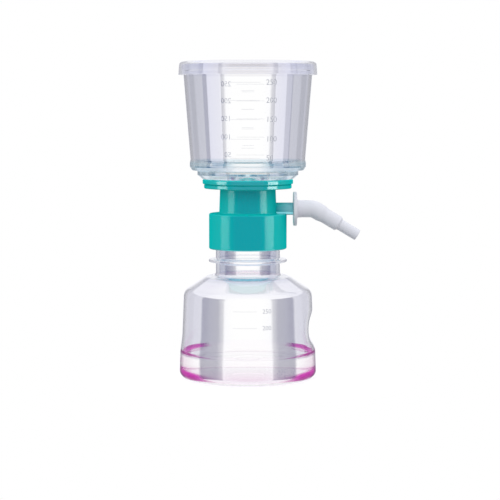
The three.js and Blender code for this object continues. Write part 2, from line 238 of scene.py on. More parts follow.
class FunnelSizes(PropertyGroup):
    wall: length("Wall", "Thickness of the funnel's wall", 1.8 * MM)
    depth: length("Depth", "From the floor to the rim", 62.8 * MM)
    base_radius: length("Base radius", "Outer radius at the floor", 37.1 * MM)
    top_radius: length("Top radius", "Outer radius at the rim", 42.15 * MM)
    foot: length("Foot", "Height of the foot below the floor", 5 * MM)
    foot_bead: length("Foot bead", "How far the foot's bead stands out", 0.6 * MM)
    foot_taper: length("Foot taper", "How much the foot narrows below its bead", 0.8 * MM)
    weld_radius: length("Weld radius", "Inner radius of the ring that is welded to the holder", 26.9 * MM)
    weld_ring: length("Weld ring", "Width of that ring", 4 * MM)
    lip_gap: length("Lip gap", "How far the outlet's lip ends above the foot", 0.7 * MM)
    outlet_radius: length("Outlet radius", "Radius of the opening over the membrane", 23.2 * MM)
    bead: length("Bead", "How far the rim's bead stands out", 0.5 * MM)
    bead_height: length("Bead height", "Height of the rim's bead", 4.4 * MM)


class LidSizes(PropertyGroup):
    wall: length("Wall", "Thickness of the lid's skirt", 1.4 * MM)
    plate: length("Plate", "Thickness of the lid's plate", 1.8 * MM)
    flare: length("Flare", "How much the skirt widens downwards", 0.6 * MM)
    corner: length("Corner", "Rounding of the lid's upper edge", 2.4 * MM)
    plug_depth: length("Plug depth", "Height of the rim that drops into the funnel", 2.7 * MM)
    plug_wall: length("Plug wall", "Thickness of that rim", 1.5 * MM)
    gate: length("Gate", "Radius of the moulding gate under the middle of the plate", 1.6 * MM)
    gate_height: length("Gate height", "How far the gate stands out", 0.7 * MM)


class ScaleSizes(PropertyGroup):
    ink: length("Ink", "Thickness of the print", 0.05 * MM)
    stroke: length("Stroke", "Width of a printed line", 0.12 * MM)
    digit: length("Digit", "Height of the printed numbers", 3.6 * MM)
    major: length("Major line", "Length of the line beside a number", 19 * MM)
    minor: length("Minor line", "Length of the line between two numbers", 8 * MM)
    shift: length("Shift", "How far the numbered lines stand left of the scale's middle", 1.8 * MM)
    number_start: length("Number start", "From the middle of the scale to its numbers", 11.5 * MM)
    bottle_share: FloatProperty(
        name="Bottle share", description="Size of the bottle's scale beside the funnel's", default=0.8, min=0
    )


class Finishes(PropertyGroup):
    clear: colour("Clear plastic", "Tint of the funnel's polystyrene, seen straight on", 255, 255, 255)
    # Painted shade: the edge tints below darken clear plastic where it is seen aslant; a little of it is the
    # plastic's own tint.
    clear_edge_painted_shade: colour("Clear edge", "Tint of the clear plastic where it is seen on edge", 245, 246, 252)
    lid: colour("Lid", "Tint of the lid, seen straight on", 244, 243, 245)
    bottle: colour("Bottle", "Tint of the bottle's polystyrene, seen straight on", 255, 255, 255)
    # Painted shade: the bottle darkens a little towards its edges, on top of a trace of its own tint.
    bottle_edge_painted_shade: colour("Bottle edge", "Tint of the bottle where it is seen on edge", 243, 243, 249)
    # Painted shade: the neck darkens strongly where it is seen aslant; its thicker wall accounts for only a
    # little of it.
    neck_edge_painted_shade: colour("Neck edge", "Tint of the bottle's thick neck where it is seen on edge", 222, 224, 234)
    # Painted shade with a cyan cast, like the teal adapter under it, where holder and funnel foot are seen
    # aslant.
    holder_edge_painted_shade: colour("Holder edge", "Tint of holder and funnel foot where seen on edge", 190, 214, 225)
    filtrate: colour("Filtrate", "Tint of the filtrate, seen straight on", 255, 253, 255)
    filtrate_edge: colour("Filtrate edge", "Tint of the filtrate where it is seen on edge", 222, 62, 190)
    teal: colour("Teal", "Colour of the adapter", 0, 171, 182)
    # Painted light: the adapter is made lighter towards its edges.
    teal_edge_painted_light: colour("Teal edge", "Colour of the adapter towards its edges", 16, 196, 194)
    # Painted light: the colour that the port, the adapter's inside and its undersides take where light
    # through the wall is painted on.
    teal_painted_glow: colour("Thin teal", "Colour of the adapter where light comes through", 165, 228, 240)
    connector: colour("Connector", "Colour of the hose connector", 224, 226, 236)
    seal: colour("Seals", "Colour of the soft seals", 226, 228, 224)
    membrane: colour("Membrane", "Colour of the filter membrane", 244, 245, 243)
    fibre: colour("Fibre", "Colour of the port's fibre plug", 232, 235, 236)
    print: colour("Print", "Colour of the graduations", 203, 206, 216)


class StageSettings(PropertyGroup):
    distance: length("Distance", "From the common axis to the camera", 1091 * MM)
    height: length("Height", "Height of the camera", 175 * MM)
    aim_side: FloatProperty(
        name="Aim side", description="Where the camera looks, along X", default=1.4 * MM, unit="LENGTH"
    )
    aim_height: length("Aim height", "Height that the camera looks at", 83 * MM)
    lens: FloatProperty(name="Lens", description="Focal length of the camera", default=121.2, unit="CAMERA")
    day: FloatProperty(name="Daylight", description="Brightness of the soft light", default=1.0, min=0)


# ---- Outlines, surfaces and meshes ----


def fillet_arc(corner, back, ahead, fillet):
    """Points of the circular arc that touches both edges of a corner: its centre plus its radius times
    (cos, sin). The arc ends just before the middle of the shorter edge at the latest."""
    back_length, ahead_length = np.linalg.norm(back), np.linalg.norm(ahead)
    back, ahead = back / back_length, ahead / ahead_length
    half = math.acos(np.clip(back @ ahead, -1, 1)) / 2
    setback = min(fillet / math.tan(half), 0.49 * back_length, 0.49 * ahead_length)
    radius = setback * math.tan(half)
    middle = (back + ahead) / np.linalg.norm(back + ahead)
    centre = corner + middle * radius / math.sin(half)
    start, end = corner + back * setback - centre, corner + ahead * setback - centre
    sense = math.copysign(1, start[0] * end[1] - start[1] * end[0])
    turn = math.pi - 2 * half
    steps = max(2, math.ceil(turn / ARC_STEP))
    angles = math.atan2(start[1], start[0]) + sense * np.linspace(0, turn, steps + 1)
    return centre + radius * np.stack([np.cos(angles), np.sin(angles)], axis=1)


def outline(corners, closed=False, spacing=4 * MM):
    """Points [radius, height] of straight runs that arcs join. A corner is (radius, height), and may go on
    with its fillet and with the longest step of the run that follows it."""
    full = [tuple(corner) + (0.0, spacing)[len(corner) - 2:] for corner in corners]
    places = np.array([corner[:2] for corner in full])
    points, steps = [], []
    for number, (_, _, fillet, step) in enumerate(full):
        corner = places[number]
        arc = corner[None]
        if fillet > 0:
            back, ahead = places[number - 1], places[(number + 1) % len(full)]
            arc = fillet_arc(corner, back - corner, ahead - corner, fillet)
        points.append(arc)
        steps += [step] * len(arc)
    return fill_runs(np.vstack(points), np.array(steps), closed)


def fill_runs(points, steps, closed):
    """Cuts the run that follows each point into equal parts, none longer than its step."""
    starts = points if closed else points[:-1]
    ends = np.roll(points, -1, axis=0)[: len(starts)]
    parts = np.maximum(1, np.ceil(np.linalg.norm(ends - starts, axis=1) / steps[: len(starts)])).astype(int)
    run = np.repeat(np.arange(len(starts)), parts)
    share = (np.arange(len(run)) - np.repeat(np.cumsum(parts) - parts, parts)) / parts[run]
    filled = starts[run] + (ends - starts)[run] * share[:, None]
    return filled if closed else np.vstack([filled, points[-1:]])


def turned(profile, columns=COLUMNS):
    """A profile turned about +Z: (radius cos angle, radius sin angle, height), with a row for each point of
    the profile and a column for each angle."""
    angles = np.linspace(0, TURN, columns, endpoint=False)
    radius, height = profile[:, :1], profile[:, 1:]
    return np.stack([radius * np.cos(angles), radius * np.sin(angles), height + 0 * angles], axis=-1)


def radial(grid):
    """Distance from the axis, angle about it and height of each point of a grid."""
    return np.hypot(grid[..., 0], grid[..., 1]), np.arctan2(grid[..., 1], grid[..., 0]), grid[..., 2]


def pushed(grid, distance):
    """A grid with each point moved away from the common axis by a distance of its own."""
    radius = np.hypot(grid[..., 0], grid[..., 1])
    factor = (radius + distance) / np.maximum(radius, 1e-9)
    return grid * np.stack([factor, factor, np.ones_like(factor)], axis=-1)


def smooth(share):
    """Eases from 0 to 1 as a share does."""
    share = np.clip(share, 0, 1)
    return share * share * (3 - 2 * share)


def hump(offset):
    """A smooth hump: 1 in the middle, and 0 from an offset of 1 on either side."""
    return np.cos(np.pi / 2 * np.clip(offset, -1, 1)) ** 2


def grid_faces(rows, columns, rows_close):
    """Quads of a grid whose columns close on themselves, and whose rows do too if they are said to."""
    row = np.arange(rows if rows_close else rows - 1)[:, None]
    column, beside = np.arange(columns), (np.arange(columns) + 1) % columns
    start, above = row * columns, (row + 1) % rows * columns
    corners = [start + column, start + beside, above + beside, above + column]
    return np.stack(np.broadcast_arrays(*corners), axis=-1).reshape(-1, 4).tolist()


def ring_skin(grid):
    """Vertices and faces of a grid that closes on itself both ways."""
    return grid.reshape(-1, 3), grid_faces(*grid.shape[:2], True)


def poled_skin(grid):
    """Vertices and faces of a grid whose first and last rows lie on the axis, each kept as one point."""
    rows, columns = grid.shape[0] - 2, grid.shape[1]
    column = np.arange(columns)
    beside = (column + 1) % columns
    first, last, top = rows * columns, rows * columns + 1, (rows - 1) * columns
    lower = np.stack([np.full(columns, first), beside, column], axis=1)
    upper = np.stack([top + column, top + beside, np.full(columns, last)], axis=1)
    points = np.vstack([grid[1:-1].reshape(-1, 3), grid[0, :1], grid[-1, :1]])
    return points, grid_faces(rows, columns, False) + lower.tolist() + upper.tolist()


def smooth_mesh(name, points, faces):
    """A mesh that is shaded as smooth but for its sharp edges."""
    mesh = bpy.data.meshes.new(name)
    mesh.from_pydata(np.asarray(points).tolist(), [], faces)
    mesh.polygons.foreach_set("use_smooth", np.ones(len(mesh.polygons), bool))
    mesh.set_sharp_from_angle(angle=SHARP)
    return mesh


def show_piece(name, skin, finish, body, slot, *replaced):
    """Shows a skin as a piece with its finish, which rides on a body and stands for the replaced nodes.
    The slot is not used."""
    old = bpy.data.objects.get(name)
    if old is not None:
        bpy.data.objects.remove(old)
    piece = linked(name, smooth_mesh(name, *skin))
    piece.data.materials.append(finish)
    shading = piece.modifiers.new("Even shading", "WEIGHTED_NORMAL")
    shading.keep_sharp = True
    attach(piece, body)
    if replaced:
        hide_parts(*replaced)


def linked(name, data):
    """An object that shows a mesh or a curve in the scene."""
    thing = bpy.data.objects.new(name, data)
    bpy.context.scene.collection.objects.link(thing)
    return thing


def joined(skins):
    """One skin out of several closed ones."""
    starts = np.cumsum([0] + [len(points) for points, _ in skins])
    points = np.vstack([points for points, _ in skins])
    faces = [[start + corner for corner in face] for start, (_, some) in zip(starts, skins) for face in some]
    return points, faces


def skin_of(thing):
    """Vertices and faces of an object as its modifiers leave it. The object is removed."""
    mesh = bpy.data.meshes.new_from_object(thing.evaluated_get(bpy.context.evaluated_depsgraph_get()))
    bpy.data.objects.remove(thing)
    points = np.empty(3 * len(mesh.vertices))
    mesh.vertices.foreach_get("co", points)
    faces = [list(face.vertices) for face in mesh.polygons]
    bpy.data.meshes.remove(mesh)
    return points.reshape(-1, 3), faces


def carved(base, **operations):
    """A base skin after boolean steps, each an operation and the skin that it adds or takes away."""
    worked = linked("worked", smooth_mesh("worked", *base))
    tools = []
    for operation, skin in operations.items():
        tools.append(linked("tool", smooth_mesh("tool", *skin)))
        cut = worked.modifiers.new(operation, "BOOLEAN")
        cut.operation, cut.object, cut.solver = operation, tools[-1], "EXACT"
    skin = skin_of(worked)
    for tool in tools:
        bpy.data.objects.remove(tool)
    return skin


# ---- Shader nodes ----


class Signal:
    """An output of a node tree. Arithmetic on it adds Math nodes to the tree."""

    def __init__(self, nodes, socket):
        self.nodes = nodes
        self.socket = socket

    def __add__(self, other):
        return self.nodes.math("ADD", self, other)

    def __radd__(self, other):
        return self.nodes.math("ADD", other, self)

    def __sub__(self, other):
        return self.nodes.math("SUBTRACT", self, other)

    def __rsub__(self, other):
        return self.nodes.math("SUBTRACT", other, self)

    def __mul__(self, other):
        return self.nodes.math("MULTIPLY", self, other)

    def __rmul__(self, other):
        return self.nodes.math("MULTIPLY", other, self)

    def __truediv__(self, other):
        return self.nodes.math("DIVIDE", self, other)

    def __rtruediv__(self, other):
        return self.nodes.math("DIVIDE", other, self)

    def at_least(self, other):
        return self.nodes.math("MAXIMUM", self, other)

    def at_most(self, other):
        return self.nodes.math("MINIMUM", self, other)

    def above(self, edge, width):
        """Goes from 0 to 1 while the signal passes an edge, over a width."""
        return ((self - edge) / width + 0.5).at_least(0.0).at_most(1.0)


class Nodes:
    """A node tree that is being written."""

    def __init__(self, tree):
        self.tree = tree
        tree.nodes.clear()

    def add(self, kind, settings=None, sockets=None, output=0):
        """Adds a node, first its settings and then its sockets' values or links, and gives one output."""
        node = self.tree.nodes.new(kind)
        for name, value in (settings or {}).items():
            if name == "stops":
                self.set_stops(node.color_ramp.elements, value)
            else:
                setattr(node, name, value)
        for key, value in (sockets or {}).items():
            if isinstance(value, Signal):
                self.tree.links.new(value.socket, node.inputs[key])
            else:
                node.inputs[key].default_value = value
        return Signal(self, node.outputs[output]) if len(node.outputs) else None

    @staticmethod
    def set_stops(elements, stops):
        """Sets the stops of a colour ramp, which starts with two."""
        for position, _ in stops[2:]:
            elements.new(position)
        for element, (position, shade) in zip(elements, stops):
            element.position, element.color = position, shade

    def math(self, operation, *values):
        return self.add("ShaderNodeMath", {"operation": operation}, dict(enumerate(values)))

    def mix(self, factor, first, second):
        """Goes from the first colour to the second as the factor goes from 0 to 1."""
        return self.add("ShaderNodeMix", {"data_type": "RGBA"}, {0: factor, 6: first, 7: second}, 2)

    def mix_shader(self, factor, first, second):
        """Goes from the first shader to the second as the factor goes from 0 to 1."""
        return self.add("ShaderNodeMixShader", {}, {0: factor, 1: first, 2: second})

    def position(self):
        """Where a point of the surface lies on the object."""
        return self.add("ShaderNodeTexCoord", output="Object")

    def axes(self, vector):
        """The x, y and z of a vector."""
        split = self.add("ShaderNodeSeparateXYZ", {}, {0: vector})
        return [Signal(self, socket) for socket in split.socket.node.outputs]

    def from_axis(self, x, y):
        """Distance from the common axis."""
        return self.math("SQRT", x * x + y * y)

    def stretched(self, vector, x, y, z):
        return self.add("ShaderNodeMapping", {}, {"Vector": vector, "Scale": (x, y, z)})

    def noise(self, vector, scale, detail=2.0):
        return self.add("ShaderNodeTexNoise", {}, {"Vector": vector, "Scale": scale, "Detail": detail})

    def bump(self, height, strength, distance):
        return self.add("ShaderNodeBump", {}, {"Height": height, "Strength": strength, "Distance": distance})

    def facing(self, *normal):
        """0 where the surface is seen straight on, and 1 where it is seen on edge. A direction can stand in
        for the surface's own."""
        sockets = {"Blend": 0.5, **{"Normal": given for given in normal}}
        return self.add("ShaderNodeLayerWeight", {}, sockets, "Facing")

    def normal_axes(self):
        """The three parts of the way that the surface faces, in the piece's own frame. A wall that is seen
        from its back counts as facing the other way."""
        return self.axes(self.add("ShaderNodeTexCoord", output="Normal"))

    def outward(self):
        """How far the surface faces away from the common axis: 1 straight outwards, -1 straight inwards."""
        x, y, _ = self.axes(self.position())
        normal_x, normal_y, _ = self.normal_axes()
        return (normal_x * x + normal_y * y) / self.from_axis(x, y)

    def back(self):
        """1 on the back of a face, and 0 on its front."""
        return self.add("ShaderNodeNewGeometry", output="Backfacing")

    def ray(self, kind):
        """What is known of a ray: 1 if it is of the kind, such as Is Camera Ray, or its Ray Depth."""
        return self.add("ShaderNodeLightPath", output=kind)


def rgba(shade):
    return (*shade, 1.0)


def material(name, write):
    """A material whose nodes the given function writes. It returns the surface shader."""
    made = bpy.data.materials.get(name) or bpy.data.materials.new(name)
    made.use_nodes = True
    nodes = Nodes(made.node_tree)
    surface = write(nodes)
    nodes.add("ShaderNodeOutputMaterial", {}, {"Surface": surface})
    return made


def principled(nodes, **sockets):
    """A Principled shader whose sockets are given by name, with _ for each space."""
    named = {name.replace("_", " "): value for name, value in sockets.items()}
    return nodes.add("ShaderNodeBsdfPrincipled", {}, named)


def lit_through(nodes, surface, shade):
    """Lets shadow rays and soft light pass straight through a clear surface, dimmed a little at each wall.
    A ray that has gone from wall to wall for long ends in painted soft white light there."""
    worn_out = nodes.ray("Ray Depth").above(9.5, 1.0)
    # Painted light: an emission where a ray has bounced for long.
    glow = nodes.add("ShaderNodeEmission", {}, {"Color": (0.86, 0.86, 0.88, 1), "Strength": 1.0})
    passing = nodes.add("ShaderNodeBsdfTransparent", {}, {"Color": rgba(shade)})
    light = nodes.ray("Is Shadow Ray").at_least(nodes.ray("Is Diffuse Ray"))
    return nodes.mix_shader(light, nodes.mix_shader(worn_out, surface, glow), passing)


# ---- Finishes ----


def clear_plastic(name, tint, edge, sheen, zone=NO_ZONE, fade=0.0, wet=-1.0):
    """Polished clear plastic with faint flow lines down its wall. Seen aslant, its tint turns to that of its
    edge, which is painted shade on top of a little of the plastic's own tint, and its outer walls mirror the
    room, up to a share called the sheen. A fade takes part of that away again before the very edge. Below
    the wetted height it takes all of it there, and the tint doesn't turn.
    A zone between two heights has its own edge tint, also painted shade, and mirrors its own share of what
    the rest does."""
    low_end, high_end, zone_painted_edge_shade, zone_share = zone

    def write(nodes):
        facing = nodes.facing()
        position = nodes.position()
        height = nodes.axes(position)[2]
        lines = nodes.noise(nodes.stretched(position, 1, 1, 0.03), 180.0)
        normal = nodes.bump(lines, 0.02, 0.5 * MM)
        dry = height.above(wet, 1 * MM)
        inside = height.above(low_end, 2 * MM) * (1 - height.above(high_end, 2 * MM))
        # Painted shade: the base colour darkens towards the edge tint where the wall is seen aslant; only a
        # little of that is the plastic's own tint.
        painted_edge_shade = nodes.mix(inside, rgba(edge), rgba(zone_painted_edge_shade))
        clear = principled(
            nodes,
            Base_Color=nodes.mix(dry * facing.above(0.15, 0.22), rgba(tint), painted_edge_shade),
            Roughness=0.0,
            IOR=1.2,
            Transmission_Weight=1.0,
            Normal=normal,
        )
        polish = {"Color": (0.95, 0.95, 1, 1), "Roughness": 0.02, "Normal": normal}
        mirror = nodes.add("ShaderNodeBsdfGlossy", {}, polish)
        before_edge = facing.above(0.3, 0.04) * (1 - facing.above(0.75, 0.16))
        kept = 1 - (1 - (1 - fade) * dry) * before_edge
        outer_wall = (1 - nodes.back()) * nodes.outward().above(0.15, 0.3)
        share = sheen * facing.above(0.072, 0.09) * kept * outer_wall * (1 - (1 - zone_share) * inside)
        return lit_through(nodes, nodes.mix_shader(share, clear, mirror), (0.96, 0.96, 0.965))

    return material(name, write)


def filtrate_finish(finishes, bottom, level, wall):
    """Pink liquid: almost clear seen straight on, with a faint blush towards its foot and its sides. Seen
    through its whole depth it is magenta: round its rim, mostly on the far side, and along its foot on the
    near side."""

    def write(nodes):
        x, y, z = nodes.axes(nodes.position())
        away = nodes.add("ShaderNodeCombineXYZ", {}, {0: x, 1: y, 2: 0.0})
        turn = {"vector_type": "NORMAL", "convert_from": "OBJECT", "convert_to": "WORLD"}
        aside = nodes.facing(nodes.add("ShaderNodeVectorTransform", turn, {0: away}))
        near = nodes.outward().above(0.3, 0.3)
        at_wall = (nodes.from_axis(x, y) / wall).above(0.86, 0.16)
        rim = z.above(level + 0.3 * MM, 0.6 * MM) * at_wall * aside.above(0.27, 0.15) * (1 - 0.7 * near)
        foot = (1 - z.above(bottom + 2.5 * MM + 4 * MM * aside, 2 * MM)) * at_wall * near
        foot = foot * aside.above(0.18, 0.2) * (1 - 0.5 * aside.above(0.6, 0.3))
        blush = 0.35 * (1 - z.above(bottom + 5 * MM, 8 * MM)) + 0.35 * aside.above(0.45, 0.4)
        magenta = (rim + foot + blush * near).at_most(1.0)
        clear = principled(
            nodes,
            Base_Color=nodes.mix(magenta, rgba(finishes.filtrate), rgba(finishes.filtrate_edge)),
            Roughness=0.0,
            IOR=1.15,
            Transmission_Weight=1.0,
        )
        dye = principled(nodes, Base_Color=rgba(finishes.filtrate_edge), Roughness=0.3, IOR=1.15)
        surface = nodes.mix_shader((0.9 * (rim + foot)).at_most(0.9), clear, dye)
        return lit_through(nodes, surface, (0.97, 0.9, 0.96))

    return material("pink_filtrate", write)


def teal_finish(finishes, sizes):
    """Moulded teal plastic with a soft gloss and faint flow marks, and matt where it is seen on edge. It has
    painted light: it is lighter towards its edges, paler where the port is thin, and its inside and its
    undersides glow with painted light that stands in for light coming through the wall. The flange has a
    higher gloss."""
    flange_low = high("adapter") - sizes.flange_thickness

    def write(nodes):
        position = nodes.position()
        x, _, z = nodes.axes(position)
        over_collar = z.above(sizes.collar_top - 0.2 * MM, 1 * MM)
        under_flange = 1 - z.above(flange_low - 2 * MM, 1 * MM)
        # Painted light: the port is made paler towards its end, in place of light coming through its thin
        # wall.
        thin = 0.85 * x.above(sizes.stem_radius + 4.5 * MM, 9 * MM) * over_collar * under_flange
        # Painted light: the inside and the undersides are made paler and glow, in place of light coming
        # through the wall.
        low_part = 1 - z.above(flange_low - 10 * MM, 1 * MM)
        underside = (0.0 - nodes.normal_axes()[2]).above(0.5, 0.2) * low_part
        painted_glow_mask = (0.0 - nodes.outward()).above(0.5, 0.2).at_least(underside)
        flow = nodes.noise(nodes.stretched(position, 1, 1, 0.25), 90.0, 3.0)
        grain = nodes.noise(position, 2600.0)
        # Painted light: lighter towards the edges.
        body = nodes.mix(nodes.facing().above(0.11, 0.12), rgba(finishes.teal), rgba(finishes.teal_edge_painted_light))
        body = nodes.mix(thin.at_least(0.7 * painted_glow_mask), body, rgba(finishes.teal_painted_glow))
        glossy = principled(
            nodes,
            Base_Color=body,
            Roughness=0.12 + 0.08 * flow,
            IOR=1.22,
            Coat_Weight=0.5 * z.above(flange_low, 1 * MM),
            Coat_Roughness=0.1,
            Emission_Color=nodes.mix(painted_glow_mask, (0, 0, 0, 1), rgba(finishes.teal_painted_glow)),
            Emission_Strength=0.5,
            Normal=nodes.bump(grain, 0.03, 0.1 * MM),
        )
        matt = principled(nodes, Base_Color=body, Roughness=1.0, Specular_IOR_Level=0.0)
        return nodes.mix_shader(nodes.facing().above(0.5, 0.3), glossy, matt)

    return material("teal_plastic", write)


def satin_plastic(name, shade, roughness, grain_scale, grain):
    """Moulded plastic with a fine spark-eroded grain, and with a slightly uneven gloss and colour."""

    def write(nodes):
        position = nodes.position()
        fine = nodes.noise(position, grain_scale, 3.0)
        uneven = nodes.noise(position, 160.0)
        darker = rgba([0.82 * part for part in shade])
        return principled(
            nodes,
            Base_Color=nodes.mix(0.12 * uneven.above(0.5, 1.0), rgba(shade), darker),
            Roughness=roughness + 0.1 * uneven,
            IOR=1.49,
            Normal=nodes.bump(fine, grain, 0.2 * MM),
        )

    return material(name, write)


def woven(name, shade, pitch):
    """A fine mesh, raised by sin(turns x) sin(turns y), with painted shade where it is low. It glows a
    little with painted light in place of the light behind it.
    """

    def write(nodes):
        x, y, _ = nodes.axes(nodes.position())
        turns = TURN / pitch
        raised = (nodes.math("SINE", x * turns) * nodes.math("SINE", y * turns)).above(0.0, 1.6)
        # Painted shade where the weave is low, and a painted glow in place of the light behind it.
        return principled(
            nodes,
            Base_Color=nodes.mix(raised, rgba([0.85 * part for part in shade]), rgba(shade)),
            Roughness=0.6,
            Emission_Color=rgba(shade),
            Emission_Strength=0.25,
            Normal=nodes.bump(raised, 0.5, 0.3 * MM),
        )

    return material(name, write)


# ---- Receiver bottle and filtrate ----


def wall_corners(sizes, inset):
    """Corners of the bottle's wall from the foot up to the neck, at an inset inside its outer face."""
    belly = reach("bottle") - inset
    shoulder = sizes.waist_radius - sizes.waist_draft
    slope = sizes.shoulder_rise / (shoulder - sizes.crown_radius)
    steep = math.hypot(1, slope)
    crown_height = sizes.shoulder_height + sizes.shoulder_rise - inset
    neck = sizes.neck_radius - (sizes.neck_wall if inset > 0 else 0)
    return [
        (belly, sizes.floor if inset > 0 else 0, sizes.foot_fillet - inset),
        (belly - sizes.belly_draft, sizes.belly_height, sizes.foot_fillet, 2 * MM),
        (sizes.waist_radius - inset, sizes.waist_height, sizes.foot_fillet, 1.2 * MM),
        (shoulder - inset, sizes.shoulder_height + (slope - steep) * inset, sizes.shoulder_fillet - inset),
        (sizes.crown_radius - (steep - 1) * inset / slope, crown_height, sizes.crown_fillet - inset),
        (neck, crown_height, sizes.neck_wall),
    ]


def waist_radius(sizes, height):
    """Outer radius of the bottle's wall at a height between the soft step and the shoulder."""
    share = (height - sizes.waist_height) / (sizes.shoulder_height - sizes.waist_height)
    return sizes.waist_radius - sizes.waist_draft * share


def thread_ridge(thread, angles, heights, start, phase):
    """How far a screw thread stands out: a flat-topped ridge along a helix that begins at a start height and
    a phase in turns, and rises and fades within 0.3 of a turn at its ends."""
    turn = np.mod(heights / thread.pitch - angles / TURN - phase + 0.5, 1) - 0.5
    half = 0.5 * thread.ridge / thread.pitch
    profile = smooth((half - np.abs(turn)) / (0.45 * half))
    run = (heights - start) / thread.pitch
    turns = thread.length / thread.pitch
    return thread.depth * profile * smooth(run / 0.3) * smooth((turns - run) / 0.3)


def bottle_skin(sizes, thread):
    """The bottle's outline turned about the axis, with a helical ridge on the neck and a smooth dent for a
    finger on the +X side: its depth times a hump over the height and a hump over the angle."""
    foot_inner = reach("bottle") - sizes.foot_fillet - sizes.foot_ring
    ring = low("adapter") - sizes.ring_drop
    edge = sizes.neck_radius + sizes.ring_reach
    half = 0.5 * sizes.ring_thickness
    mouth = high("bottle")
    thread_low = mouth - 0.1 * thread.pitch - thread.length  # it ends just below the mouth
    outer = [
        (0, 0),
        (sizes.pad_radius, 0, SOFT_EDGE),
        (sizes.pad_radius + sizes.recess, sizes.recess, SOFT_EDGE),
        (foot_inner - sizes.recess, sizes.recess, SOFT_EDGE),
        (foot_inner, 0, SOFT_EDGE),
        *wall_corners(sizes, 0),
        (sizes.neck_radius, ring - half, 0.6 * MM),
        (edge, ring - 0.5 * half, 0.5 * half),
        (edge, ring + 0.5 * half, 0.5 * half),
        (sizes.neck_radius, ring + half, 0.6 * MM),
        (sizes.neck_radius, thread_low, 0, 0.25 * MM),
        (sizes.neck_radius, mouth, 0.5 * MM),
    ]
    inner = [
        (sizes.neck_radius - sizes.neck_wall, mouth, 0.5 * MM),
        *reversed(wall_corners(sizes, sizes.wall)),
        (0, sizes.floor),
    ]
    grid = turned(outline([*outer, *inner]))
    radius, angles, heights = radial(grid)
    outside = (radius > sizes.neck_radius - 0.2 * sizes.neck_wall) & (heights > thread_low)
    ridge = thread_ridge(thread, angles, heights, thread_low, phase=0.25) * outside
    grip = hump((heights - sizes.grip_height) / sizes.grip_rise) * hump(angles / sizes.grip_spread)
    dent = sizes.grip_depth * grip * (radius > 0.8 * sizes.waist_radius)
    return poled_skin(pushed(grid, ridge - dent))


def filtrate_skin(sizes, filtrate):
    """The filtrate's outline turned about the axis: the inside of the bottle up to a level face, which
    climbs the wall by its meniscus."""
    grow = filtrate.wetting
    wall = reach("bottle") - sizes.wall + grow
    level = high("medium")
    bottom = sizes.floor - grow
    climb = filtrate.meniscus
    narrowed = sizes.belly_draft * level / sizes.belly_height
    corners = [
        (0, bottom),
        (wall, bottom, sizes.foot_fillet - sizes.wall),
        (wall - narrowed, level + climb, 0.1 * MM),
        (wall - narrowed - grow, level + climb, 0.1 * MM),
        (wall - narrowed - grow - 0.25 * climb, level + 0.3 * climb, 0.6 * MM),
        (wall - narrowed - grow - 2 * climb, level, 2 * MM),
        (0, level),
    ]
    return poled_skin(turned(outline(corners)))


# ---- Adapter, gasket and port plug ----


def seal_skin(node, inner):
    """A ring with rounded edges in the place of a solid."""
    outer, bottom, top, fillet = reach(node), low(node), high(node), 0.3 * MM
    corners = [(inner, bottom, fillet), (outer, bottom, fillet), (outer, top, fillet), (inner, top, fillet)]
    return ring_skin(turned(outline(corners, closed=True)))


def collar_and_flange(sizes, thread):
    """The adapter's outline turned about the axis, with the thread's helical ridge inside the collar."""
    bottom, top = low("adapter"), high("adapter")
    flange = reach("adapter")
    flange_low = top - sizes.flange_thickness
    ceiling = sizes.collar_top - sizes.roof
    thread_high = ceiling - sizes.thread_drop
    thread_low = thread_high - thread.length
    lip = flange - sizes.flange_step
    groove = flange_low + 0.46 * sizes.flange_thickness  # a little below the flange's middle
    half_groove = 0.5 * sizes.groove_width
    bore = sizes.stem_radius - sizes.stem_wall
    well = flange - sizes.flange_rim
    corners = [
        (sizes.collar_bore, bottom, 0.5 * MM),
        (sizes.collar_radius, bottom, 0.9 * MM),
        (sizes.collar_radius, sizes.collar_top, 0.9 * MM),
        (sizes.stem_radius + sizes.stem_draft, sizes.collar_top, sizes.stem_fillet),
        (sizes.stem_radius, flange_low, sizes.stem_fillet),
        (lip, flange_low, 0.7 * MM),
        (lip, groove - half_groove, 0.5 * MM),
        (lip - sizes.groove_depth, groove, 0.3 * MM),
        (flange, groove + half_groove, 0.6 * MM),
        (flange, top, 0.7 * MM),
        (well, top, 0.4 * MM),
        (well, top - sizes.flange_well, 0.3 * MM),
        (bore, top - sizes.flange_well, 0.4 * MM),
        (bore, ceiling, 0.5 * MM),
        (sizes.collar_bore, ceiling, 0.6 * MM),
        (sizes.collar_bore, thread_high, 0, 0.25 * MM),
        (sizes.collar_bore, thread_low),
    ]
    grid = turned(outline(corners, closed=True))
    radius, angles, heights = radial(grid)
    inside = (np.abs(radius - sizes.collar_bore) < 0.1 * MM) & (heights < thread_high + 0.1 * MM)
    ridge = thread_ridge(thread, angles, heights, thread_low, phase=0.75)
    return ring_skin(pushed(grid, np.where(inside, -ridge, 0)))


def rod_corners(radius, start, end, fillet):
    """Corners of a solid rod about the axis, with rounded edges."""
    return [(0, start), (radius, start, fillet), (radius, end, fillet), (0, end)]


def port_rod(radius, start, end, fillet):
    """A rod turned about +Z, then laid along +X in the axis of the port: (height, y, port's height - x)."""
    profile = outline(rod_corners(radius, start, end, fillet), spacing=2 * MM)
    points, faces = poled_skin(turned(profile, SMALL_COLUMNS))
    return np.stack([points[:, 2], points[:, 1], port_height() - points[:, 0]], axis=1), faces


def adapter_skin(sizes, thread):
    """Collar, stem and flange, with the port's tube added and its bore cut out through the stem's wall."""
    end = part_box("adapter")[1].x
    middle = sizes.stem_radius - 0.5 * sizes.stem_wall
    tube = port_rod(sizes.port_radius, middle, end, 0.4 * MM)
    bore = port_rod(sizes.port_bore, 0.5 * sizes.stem_radius, end + sizes.port_radius, 0.2 * MM)
    return carved(collar_and_flange(sizes, thread), UNION=tube, DIFFERENCE=bore)


# ---- Hose connector ----


